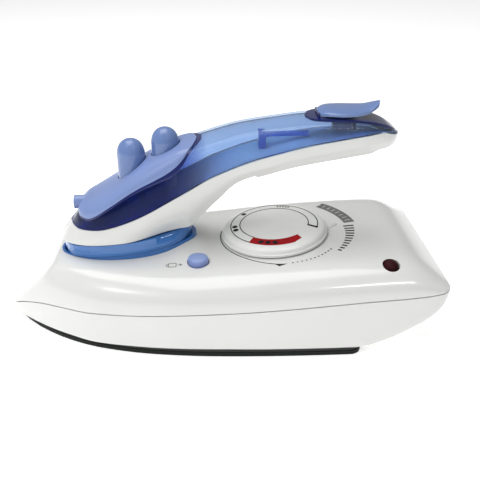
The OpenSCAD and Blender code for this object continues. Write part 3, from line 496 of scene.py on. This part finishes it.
cover = skin("control_cover_skin", COVER_REACH, 110, 26, 0.3, 1.5, 9)
cover = cut(cover, *wells(BUTTON_R + 0.35), rod(NOZZLE_R + 0.05, 0, 12, AT_NOZZLE))
# navy band a little wider than the cover, wider still at the rear: painted shadow of the gap round the
# cover's edge
shadow_band_reach = [(x, r + 0.03 + 0.07 * ease(-30, -14, x)) for x, r in COVER_REACH[:-1]] + [(-6.4, 0.06)]
shadow_band = skin("cover_shadow_band", shadow_band_reach, 110, 26, 0.03, 0.3, 2)
shadow_band = cut(shadow_band, *wells(BUTTON_R + 0.5), rod(NOZZLE_R + 0.1, 0, 12, AT_NOZZLE))
tray = skin("filler_tray_skin", TRAY_REACH, 70, 20, 0.1, 0.9, 2)
tray = cut(tray, rod(FILLER_R, 84, 100, AT_FILLER))

# ---- plate under the grip ----

PLATE_FROM, PLATE_TO = 15.5, 70
PLATE_GAP = 0.12
PLATE_T = 1.68
plate_x = stations(PLATE_FROM, PLATE_TO, 70, 0.6)
plate_v = [0.24 * j / 12 for j in range(-12, 13)]


def plate_row(x, drop):
    return [tuple(c - d for c, d in zip(hull_point(x, v), (0, 0, drop))) for v in plate_v]


def plate_low(x):
    """Depth of the plate's underside: a step at the front, running out at the rear"""
    step = min(1, ease(PLATE_FROM, 17, x) + 0.5)
    return PLATE_GAP + PLATE_T * step * min(1, ease(PLATE_TO, 63, x) + 0.05)


plate = slab("grip_plate_skin", [plate_row(x, PLATE_GAP) for x in plate_x],
             [plate_row(x, plate_low(x)) for x in plate_x])

# ---- filler flap: crowned, with a softened edge ----

FLAP_FROM = 41.5  # close to the pin, so that the open flap clears the tray
FLAP_T = 1.2
CROWN = 0.7
EDGE = 0.25
flap_x = stations(FLAP_FROM, FLAP_W[-1][0], 60, 0.3)


def flap_row(x, t):
    row = []
    for v in range(-14, 15):
        edge = EDGE if abs(v) == 14 and t == 0 else 0
        row.append((x, v / 14 * along(FLAP_W, x), along(FLAP_TOP, x) - CROWN * (v / 14) ** 2 - t - edge))
    return row


flap = slab("filler_flap_skin", [flap_row(x, 0) for x in flap_x], [flap_row(x, FLAP_T) for x in flap_x],
            sharp=50)

# ---- low rib on the deck that the dial is read against, placed from the dial's centre ----

RIB_FROM, RIB_RUN = (24.4, 1.0), (4.4, 4.0)
RIB_HALF_W = (0.67, 0.74)
RIB_H = 0.75
RIB_SUNK = 0.3  # depth of its foot below the deck


def rib_loop(k):
    x, y = RIB_FROM[0] + RIB_RUN[0] * k, RIB_FROM[1] + RIB_RUN[1] * k
    h = 0.05 + RIB_H * math.sqrt(max(0, 1 - (2 * k - 1) ** 2))
    foot = deck_point(DIAL_C.x + x, 0.1)[2] - RIB_SUNK
    arch = [math.pi * j / 8 for j in range(9)]
    return [(DIAL_C.x + x - RIB_HALF_W[0] * math.cos(t), y + RIB_HALF_W[1] * math.cos(t),
             foot + (RIB_SUNK + h) * max(0, math.sin(t))) for t in arch]


rib = rings("deck_index_rib", [rib_loop(i / 16) for i in range(17)], sharp=60)

# ---- dial ----

DIAL_FACE = [(0, DIAL_H + 0.35), (14.6, DIAL_H + 0.3), (17.4, DIAL_H + 0.12), (20.6, DIAL_H - 0.25),
             (22.1, DIAL_H - 0.8)]
DIAL_SIDE = [(22.8, DIAL_H - 1.6), (23, 2.3), (23.1, 1.85), (DIAL_R, 1.7), (DIAL_R, 0.75), (23.4, 0.55)]
DIAL_UNDER = [(21, 0.55), (20.6, 1.6), (6, 1.6), (5.4, 0.4), (2.6, 0.4), (0.01, 0.4)]
dial_profile = [(0.01, DIAL_FACE[0][1])] + DIAL_FACE[1:] + DIAL_SIDE + DIAL_UNDER
dial = lathe("dial_cap", rounded(dial_profile), AT_DIAL, 160)

# ---- what each piece stands for, the body it moves with and its finish ----

for obj, node, body, slot in ((upper, "upper_shell", "base", "white_plastic"),
                              (skirt, "skirt", "base", "white_plastic"),
                              (collar, "collar", "base", "collar_blue"),
                              (hull, "handle_shell", "handle", "white_plastic"),
                              (tank, "water_tank", "handle", "tank_blue"),
                              (tank_floor, "tank_base", "handle", "tank_blue"),
                              (cover, "control_cover", "handle", "light_blue"),
                              (tray, "filler_tray", "handle", "navy_plastic"),
                              (plate, "grip_plate", "handle", "white_plastic"),
                              (flap, "filler_flap", "flap", "light_blue"),
                              (dial, "dial_knob", "dial", "dial_white")):
    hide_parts(node)
    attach(obj, body)
    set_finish(obj, slot)
for obj, body, slot in ((shadow_band, "handle", "tank_blue"), (band, "handle", "collar_blue"),
                        (rib, "base", "white_plastic")):
    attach(obj, body)
    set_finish(obj, slot)

# ---- materials ----


def material(name, color, rough, spread=0.05, grain=0.4, bump=0.02, coat=0.0, metal=0.0, trans=0.0,
             ior=1.5, tint=0.06, specular=0.5):
    """Moulded or worked surface: colour and gloss drift with a fine grain, and a bump of the same grain.
    grain is the size of the grain in millimetres, spread how much the roughness drifts, tint the colour"""
    m = bpy.data.materials.new(name)
    m.use_nodes = True
    p = m.node_tree.nodes["Principled BSDF"]
    new, link = m.node_tree.nodes.new, m.node_tree.links.new
    co = new("ShaderNodeTexCoord")
    fine = new("ShaderNodeTexNoise")
    fine.inputs["Scale"].default_value = 1000 / grain
    fine.inputs["Detail"].default_value = 3
    wide = new("ShaderNodeTexNoise")
    wide.inputs["Scale"].default_value = 45
    wide.inputs["Detail"].default_value = 4
    link(co.outputs["Object"], fine.inputs["Vector"])
    link(co.outputs["Object"], wide.inputs["Vector"])
    ramp = new("ShaderNodeValToRGB")
    ramp.color_ramp.elements[0].position = 0.3
    ramp.color_ramp.elements[1].position = 0.72
    ramp.color_ramp.elements[0].color = (*[c * (1 - tint) for c in color], 1)
    ramp.color_ramp.elements[1].color = (*[min(1, c * (1 + tint)) for c in color], 1)
    link(wide.outputs["Fac"], ramp.inputs["Fac"])
    link(ramp.outputs["Color"], p.inputs["Base Color"])
    gloss = new("ShaderNodeMapRange")
    gloss.inputs["To Min"].default_value = max(0.0, rough - spread)
    gloss.inputs["To Max"].default_value = rough + spread
    link(wide.outputs["Fac"], gloss.inputs["Value"])
    link(gloss.outputs["Result"], p.inputs["Roughness"])
    if bump:
        b = new("ShaderNodeBump")
        b.inputs["Strength"].default_value = bump
        b.inputs["Distance"].default_value = 0.0002
        link(fine.outputs["Fac"], b.inputs["Height"])
        link(b.outputs["Normal"], p.inputs["Normal"])
    p.inputs["Metallic"].default_value = metal
    p.inputs["IOR"].default_value = ior
    p.inputs["Transmission Weight"].default_value = trans
    p.inputs["Coat Weight"].default_value = coat
    p.inputs["Coat Roughness"].default_value = 0.04
    p.inputs["Specular IOR Level"].default_value = specular
    return m


def graded(m, stops, axis="X"):
    """Lets the colour of m run through stops, pairs of a distance in millimetres along axis and a colour"""
    nt = m.node_tree
    p = nt.nodes["Principled BSDF"]
    old = p.inputs["Base Color"].links[0].from_socket
    co = nt.nodes.new("ShaderNodeTexCoord")
    sep = nt.nodes.new("ShaderNodeSeparateXYZ")
    run = nt.nodes.new("ShaderNodeMapRange")
    a, b = stops[0][0], stops[-1][0]
    run.inputs["From Min"].default_value = a * MM
    run.inputs["From Max"].default_value = b * MM
    ramp = nt.nodes.new("ShaderNodeValToRGB")
    bands = ramp.color_ramp.elements
    bands[0].color, bands[1].color = (*stops[0][1], 1), (*stops[-1][1], 1)
    for at, color in stops[1:-1]:
        bands.new((at - a) / (b - a)).color = (*color, 1)
    mix = nt.nodes.new("ShaderNodeMix")
    mix.data_type, mix.blend_type = "RGBA", "MULTIPLY"
    mix.inputs["Factor"].default_value = 1
    link = nt.links.new
    link(co.outputs["Object"], sep.inputs["Vector"])
    link(sep.outputs[axis], run.inputs["Value"])
    link(run.outputs["Result"], ramp.inputs["Fac"])
    link(ramp.outputs["Color"], mix.inputs[6])
    link(old, mix.inputs[7])
    link(mix.outputs[2], p.inputs["Base Color"])
    return m


# Finishes of the record's material slots: colour, roughness, drift of the roughness, grain and bump
M = {
    "white_plastic": material("glossy_white", (0.76, 0.765, 0.745), 0.2, 0.04, 0.8, 0.01, coat=0.35,
                              tint=0.012),
    "dial_white": material("satin_white", (0.85, 0.855, 0.835), 0.3, 0.05, 0.5, 0.015, coat=0.15,
                           tint=0.012),
    "light_blue": material("periwinkle", (0.21, 0.29, 0.56), 0.32, 0.05, 0.35, 0.04, coat=0.12, tint=0.04),
    "collar_blue": material("collar_blue", (0.04, 0.19, 0.56), 0.12, 0.04, 0.6, 0.015, coat=0.5, trans=0.1,
                            tint=0.06),
    # tank_blue: navy over the head, fading to pale blue in the grip; the navy is painted shade of the dark
    # parts inside, seen through the wall
    "tank_blue": graded(material("tank_blue", (0.95, 0.95, 0.95), 0.05, 0.03, 0.9, 0.01, coat=0.25,
                                 trans=0.94, ior=1.12, tint=0.05),
                        [(-22, (0.03, 0.10, 0.50)), (-4, (0.5, 0.63, 0.84))]),
    "navy_plastic": material("navy", (0.004, 0.012, 0.11), 0.15, 0.04, 0.5, 0.02, coat=0.3, tint=0.2),
    "sole_coating": material("sole_coating", (0.008, 0.011, 0.009), 0.55, 0.08, 0.25, 0.12, tint=0.2,
                             specular=0.2),
    "black_seal": material("black_seal", (0.008, 0.008, 0.009), 0.5, 0.1, 0.3, 0.1, tint=0.3),
    "cast_aluminium": material("cast_aluminium", (0.6, 0.6, 0.61), 0.45, 0.1, 0.6, 0.3, metal=1, tint=0.1),
    "sheet_steel": material("sheet_steel", (0.6, 0.6, 0.62), 0.3, 0.1, 0.3, 0.05, metal=1, tint=0.1),
    "heater_metal": material("heater_metal", (0.3, 0.3, 0.31), 0.4, 0.1, 0.3, 0.1, metal=1, tint=0.15),
    "spring_steel": material("spring_steel", (0.5, 0.5, 0.52), 0.25, 0.08, 0.3, 0.05, metal=1, tint=0.1),
    "brass": material("brass", (0.7, 0.5, 0.2), 0.3, 0.08, 0.3, 0.05, metal=1, tint=0.1),
    "ceramic": material("ceramic", (0.72, 0.68, 0.58), 0.5, 0.1, 0.3, 0.1, tint=0.06),
    "grey_plastic": material("grey_plastic", (0.2, 0.2, 0.21), 0.45, 0.08, 0.3, 0.1, tint=0.1),
    "grey_rubber": material("grey_rubber", (0.05, 0.05, 0.053), 0.6, 0.1, 0.3, 0.15, tint=0.2),
    "clear_hose": material("milky_hose", (0.7, 0.72, 0.74), 0.3, 0.08, 0.3, 0.05, trans=0.3, tint=0.05),
    "wire_sleeve": material("wire_sleeve", (0.4, 0.03, 0.02), 0.6, 0.1, 0.25, 0.3, tint=0.2),
    "lamp_glass": material("lamp_glass", (0.9, 0.45, 0.2), 0.1, 0.03, 0.5, 0.02, trans=0.7, tint=0.1),
    "red_lens": material("red_lens", (0.035, 0.002, 0.005), 0.5, 0.1, 0.9, 0.5, tint=0.6, specular=0.12),
}
# Finishes of single pieces
# tank floor: pale in the middle, painted light against the handle's shadow, and darker at both ends, painted
# shade
TANK_FLOOR_PAINTED_LIGHT = graded(material("tank_floor_painted_light", (0.95, 0.95, 0.95), 0.3, 0.08, 0.6, 0.03, coat=0.2, tint=0.1),
                    [(-14, (0.26, 0.34, 0.72)), (12, (0.6, 0.8, 1)), (34, (0.6, 0.8, 1)),
                     (56, (0.25, 0.42, 0.95))])
KEYS = material("button_blue", (0.145, 0.23, 0.48), 0.2, 0.05, 0.35, 0.03, coat=0.3, tint=0.04)
BAFFLE = material("baffle_blue", (0.08, 0.17, 0.72), 0.25, 0.06, 0.5, 0.03, coat=0.2, tint=0.08)
# release button: darker towards its foot, painted shade on its side wall
BARREL_PAINTED_SHADE = graded(material("button_barrel_painted_shade", (0.28, 0.38, 0.68), 0.3, 0.05, 0.35, 0.04, coat=0.15, tint=0.04),
                [(34.6, (0.55, 0.55, 0.75)), (37.2, (0.85, 0.85, 0.95)), (38.6, (1, 1, 1))], "Z")
INK = material("black_ink", (0.008, 0.008, 0.009), 0.5, 0.1, 0.2, 0.05, tint=0.3, specular=0.2)
GREY_INK = material("grey_ink", (0.17, 0.17, 0.17), 0.45, 0.1, 0.2, 0.05, tint=0.25)
PALE_INK = material("pale_ink", (0.6, 0.6, 0.59), 0.45, 0.1, 0.2, 0.05, tint=0.1)
RED_INK = material("red_ink", (0.36, 0.004, 0.008), 0.5, 0.1, 0.2, 0.05, tint=0.2, specular=0.15)

slot_of = {s["node"]: s["material_slot"] for s in frame["record"]["subparts"]}
own_finish = {"spray_button": KEYS, "steam_button": KEYS, "tank_baffle": BAFFLE, "release_button": BARREL_PAINTED_SHADE}
for name, obj in frame["nodes"].items():
    obj.data.materials.clear()
    obj.data.materials.append(own_finish.get(name, M[slot_of[name]]))
flap.data.materials.append(KEYS)
# navy on the band round the cover is painted shadow
shadow_band.data.materials.append(M["navy_plastic"])
tank_floor.data.materials.append(TANK_FLOOR_PAINTED_LIGHT)
for obj in list(bpy.context.scene.objects):
    if obj.type == "MESH" and "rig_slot" in obj and not obj.data.materials:
        obj.data.materials.append(M[obj["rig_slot"]])

# ---- printed marks: thin inked shapes lying just above the surface, drawn from the dial's centre ----


def deck_z(x, y):
    """Height of the deck, found by halving the span of v in which y lies"""
    lo, hi = 0.0, 1.0
    w = half_w(x)
    for _ in range(26):
        mid = (lo + hi) / 2
        lo, hi = (mid, hi) if bend(DECK_CORNERS, mid)[0] * w < abs(y) else (lo, mid)
    return deck_point(x, lo)[2]


def on_deck(x, y, up=0.04):
    """Point up above the deck at x, y from the dial's centre"""
    return (x + DIAL_C.x, y, deck_z(x + DIAL_C.x, y) + up)


def on_dial(x, y, up=0.05):
    """Point up above the dial's face at x, y from its centre"""
    z = along(DIAL_FACE, min(math.hypot(x, y), 21.8))
    return tuple(AT_DIAL @ Vector((x, y, z + up)))


def polar(r, a):
    """Point at distance r from the centre, at angle a in degrees"""
    return (r * math.cos(math.radians(a)), r * math.sin(math.radians(a)))


def strip(left, right):
    """Faces of a band between two rows of 2-D points"""
    return [(a, b, c, d) for a, b, c, d in zip(left, left[1:], right[1:], right)]


def arc(r, a, b, n=48, cx=0.0, cy=0.0):
    """Points of an arc about (cx, cy) from angle a to angle b"""
    points = [polar(r, a + (b - a) * i / n) for i in range(n + 1)]
    return [(cx + x, cy + y) for x, y in points]


def ring(r, s, a, b, n):
    """Faces between two arcs of radius r and s from angle a to angle b"""
    return strip(arc(r, a, b, n), arc(s, a, b, n))


def dot(x, y, r, n=20):
    c = [(x + r * math.cos(2 * math.pi * i / n), y + r * math.sin(2 * math.pi * i / n)) for i in range(n)]
    return [(c[i], c[(i + 1) % n], (x, y)) for i in range(n)]


def line(p, q, w, n=8):
    """Faces of a straight line of width w from p to q"""
    dx, dy = q[0] - p[0], q[1] - p[1]
    k = w / 2 / math.hypot(dx, dy)

    def side(s):
        return [(p[0] + dx * i / n - dy * k * s, p[1] + dy * i / n + dx * k * s) for i in range(n + 1)]

    return strip(side(1), side(-1))


def ray(a, r0, r1, w, n):
    """Faces of a line of width w along the radius at angle a"""
    return line(polar(r0, a), polar(r1, a), w, n)


INK_T = 0.03


def ink(name, polys, place, body, mat, slot):
    """Inked piece of the 2-D polygons polys, laid on a surface by place"""
    verts, faces = [], []
    for poly in polys:
        faces.append(tuple(range(len(verts), len(verts) + len(poly))))
        verts += [place(*p) for p in poly]
    obj = piece(name, verts, faces, smooth=False)
    for f in obj.data.polygons:
        if f.normal.z < 0:
            f.flip()
    solid = obj.modifiers.new("ink", "SOLIDIFY")
    solid.thickness = INK_T * MM
    solid.offset = -1
    obj.data.materials.append(mat)
    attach(obj, body)
    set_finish(obj, slot)
    return obj


# dial: two rings from the off bar round the far side to the red band, and one, two and three dots
RING_IN, RING_OUT = 15.5, 19.6
RING_LINE = 0.42
DOT_AT, DOT_R = 17.6, 1.2
marks = ring(RING_IN, RING_IN - RING_LINE, -16, 230, 120)
marks += ring(RING_OUT, RING_OUT - RING_LINE, -18, 231, 120)
marks += [(polar(RING_IN - 0.5, -13), polar(RING_IN - 0.5, -18), polar(RING_OUT + 0.2, -21.5),
           polar(RING_OUT + 0.2, -17.5))]
for a, r in ((137, 1.15), (180, DOT_R), (190.5, DOT_R), (246, DOT_R), (256, DOT_R), (266, DOT_R)):
    marks += dot(*polar(DOT_AT, a), r)
ink("dial_marks", marks, on_dial, "dial", INK, "dial_white")

# dial: red band under the three dots, with a pointed end, and five ticks on the far side
RED_IN, RED_OUT = RING_IN - 0.3, RING_OUT + 0.1
red = strip(arc(RED_IN, 229, 291, 60), arc(RED_OUT, 231, 291, 60))
red += [(polar(RED_IN, 291), polar(RED_OUT, 291), polar(18.4, 304.5), polar(RED_IN, 306),
         polar(RED_IN, 298.5))]
ink("dial_red_band", red, lambda x, y: on_dial(x, y, 0.035), "dial", RED_INK, "dial_white")
dial_ticks = [p for k in range(5) for p in ray(79 - 4.2 * k, 16.9, 18.5, 0.75, 2)]
ink("dial_grey_ticks", dial_ticks, on_dial, "dial", GREY_INK, "dial_white")

# deck: line winding out to an arrowhead, then a row of growing dots, and growing ticks further round
WIND_FROM, WIND_TO = 165, 272
DOTS_FROM, DOTS_STEP = 280.3, 4.05
TICKS_FROM, TICKS_STEP = 323, 4.1
WIND = [(165, 24.3), (190, 24.3), (215, 24.4), (235, 24.9), (250, 26), (262, 27), (272, 27.8)]
turns = [WIND_FROM + (WIND_TO - WIND_FROM) * i / 90 for i in range(91)]
deck = strip([polar(along(WIND, t) + 0.25, t) for t in turns],
             [polar(along(WIND, t) - 0.2, t) for t in turns])
deck += [((2.7, -27.6), (-2.4, -27.4), (-0.8, -28.9))]
DOT_ROW = [(0, 27.7), (5, 28.6), (10, 28.9)]
for k in range(11):
    deck += dot(*polar(along(DOT_ROW, k), DOTS_FROM + DOTS_STEP * k), 0.33 + 0.012 * k, 12)
for k in range(11):
    deck += ray(TICKS_FROM + TICKS_STEP * k, 31.6, 33.4 + 0.3 * k, 1.05, 3)
ink("deck_marks", deck, on_deck, "base", INK, "white_plastic")

# deck: grey arc with pale ticks on it
ink("deck_grey_arc", ring(32.9, 38.1, 9.5, 47, 50), on_deck, "base", GREY_INK, "white_plastic")
arc_ticks = [p for k in range(7) for p in ray(13.5 + 4.8 * k, 34.3, 36.7, 0.55, 3)]
ink("deck_arc_ticks", arc_ticks, lambda x, y: on_deck(x, y, 0.06), "base", PALE_INK, "white_plastic")

# padlock and arrow beside the release button
LOCK_LINE = 0.34
ix, iy = RELEASE_C.x - 9.9 - DIAL_C.x, RELEASE_C.y - 1.6
box = [(ix - 2.6, iy - 1.1), (ix + 0.6, iy - 1.1), (ix + 0.6, iy + 1.1), (ix - 2.6, iy + 1.1)]
icon = []
for a, b in zip(box, box[1:] + box[:1]):
    icon += line(a, b, LOCK_LINE, 4)
icon += strip(arc(1.0, 90, 270, 16, ix - 2.7, iy), arc(0.68, 90, 270, 16, ix - 2.7, iy))
icon += line((ix + 1.2, iy), (ix + 2.4, iy), LOCK_LINE, 3)
icon += [((ix + 3.3, iy), (ix + 2.2, iy + 0.75), (ix + 2.2, iy - 0.75))]
ink("lock_mark", icon, on_deck, "base", GREY_INK, "white_plastic")

# ---- floor ----

bpy.ops.mesh.primitive_plane_add(size=8, location=(0, 0, -0.0001))
floor = bpy.context.object
floor.name = "floor"
floor_mat = material("floor", (0.93, 0.93, 0.93), 0.6, 0.05, 20, 0.0, tint=0.004, specular=0.1)
glow = floor_mat.node_tree.nodes["Principled BSDF"].inputs
glow["Emission Color"].default_value = (1, 1, 1, 1)
glow["Emission Strength"].default_value = 0.5
floor.data.materials.append(floor_mat)

# ---- lights ----

world = bpy.data.worlds.new("studio")
bpy.context.scene.world = world
world.use_nodes = True
sky = world.node_tree.nodes["Background"].inputs
sky["Color"].default_value = (1, 1, 1, 1)
sky["Strength"].default_value = 0.32


def softbox(name, at, aim, size, power, tall=None, glossy=True, diffuse=True):
    """Area light at a place, turned to aim; glossy and diffuse say what it lights"""
    data = bpy.data.lights.new(name, "AREA")
    data.energy = power
    data.size = size
    if tall:
        data.shape, data.size_y = "RECTANGLE", tall
    obj = bpy.data.objects.new(name, data)
    bpy.context.scene.collection.objects.link(obj)
    obj.location = at
    obj.rotation_euler = (Vector(aim) - Vector(at)).to_track_quat("-Z", "Y").to_euler()
    obj.visible_glossy, obj.visible_diffuse = glossy, diffuse


# key and top light the object, and spark and streak only make its small and its long highlight
KEY_AT = (-0.35, -0.32, 0.6)
MIDDLE = (0, 0, 0.04)
softbox("key", KEY_AT, MIDDLE, 0.3, 1.9, glossy=False)
softbox("spark", KEY_AT, MIDDLE, 0.06, 0.4, diffuse=False)
softbox("top", (-0.1, 0.15, 0.8), MIDDLE, 0.6, 3.8)
softbox("streak", (0.22, -0.295, 0.525), (0.075, -0.036, 0.034), 0.26, 0.9, 0.03, diffuse=False)

# ---- camera ----

CAMERA_AIM = Vector((9.8, 1.5, 33.6)) * MM
CAMERA_FAR = 0.3
azimuth, elevation = math.radians(-3), math.radians(28)
right = Vector((math.cos(azimuth), math.sin(azimuth), 0))
back = Vector((math.sin(azimuth) * math.cos(elevation), -math.cos(azimuth) * math.cos(elevation),
               math.sin(elevation)))
turn = Matrix((right, back.cross(right), back)).transposed().to_4x4()
camera = bpy.data.objects.new("camera", bpy.data.cameras.new("camera"))
camera.matrix_world = Matrix.Translation(CAMERA_AIM + CAMERA_FAR * back) @ turn
camera.data.sensor_width = 36
camera.data.lens = 49.5
camera.data.clip_start = 0.01
bpy.context.scene.collection.objects.link(camera)
bpy.context.scene.camera = camera
bpy.context.scene.view_settings.view_transform = "Standard"
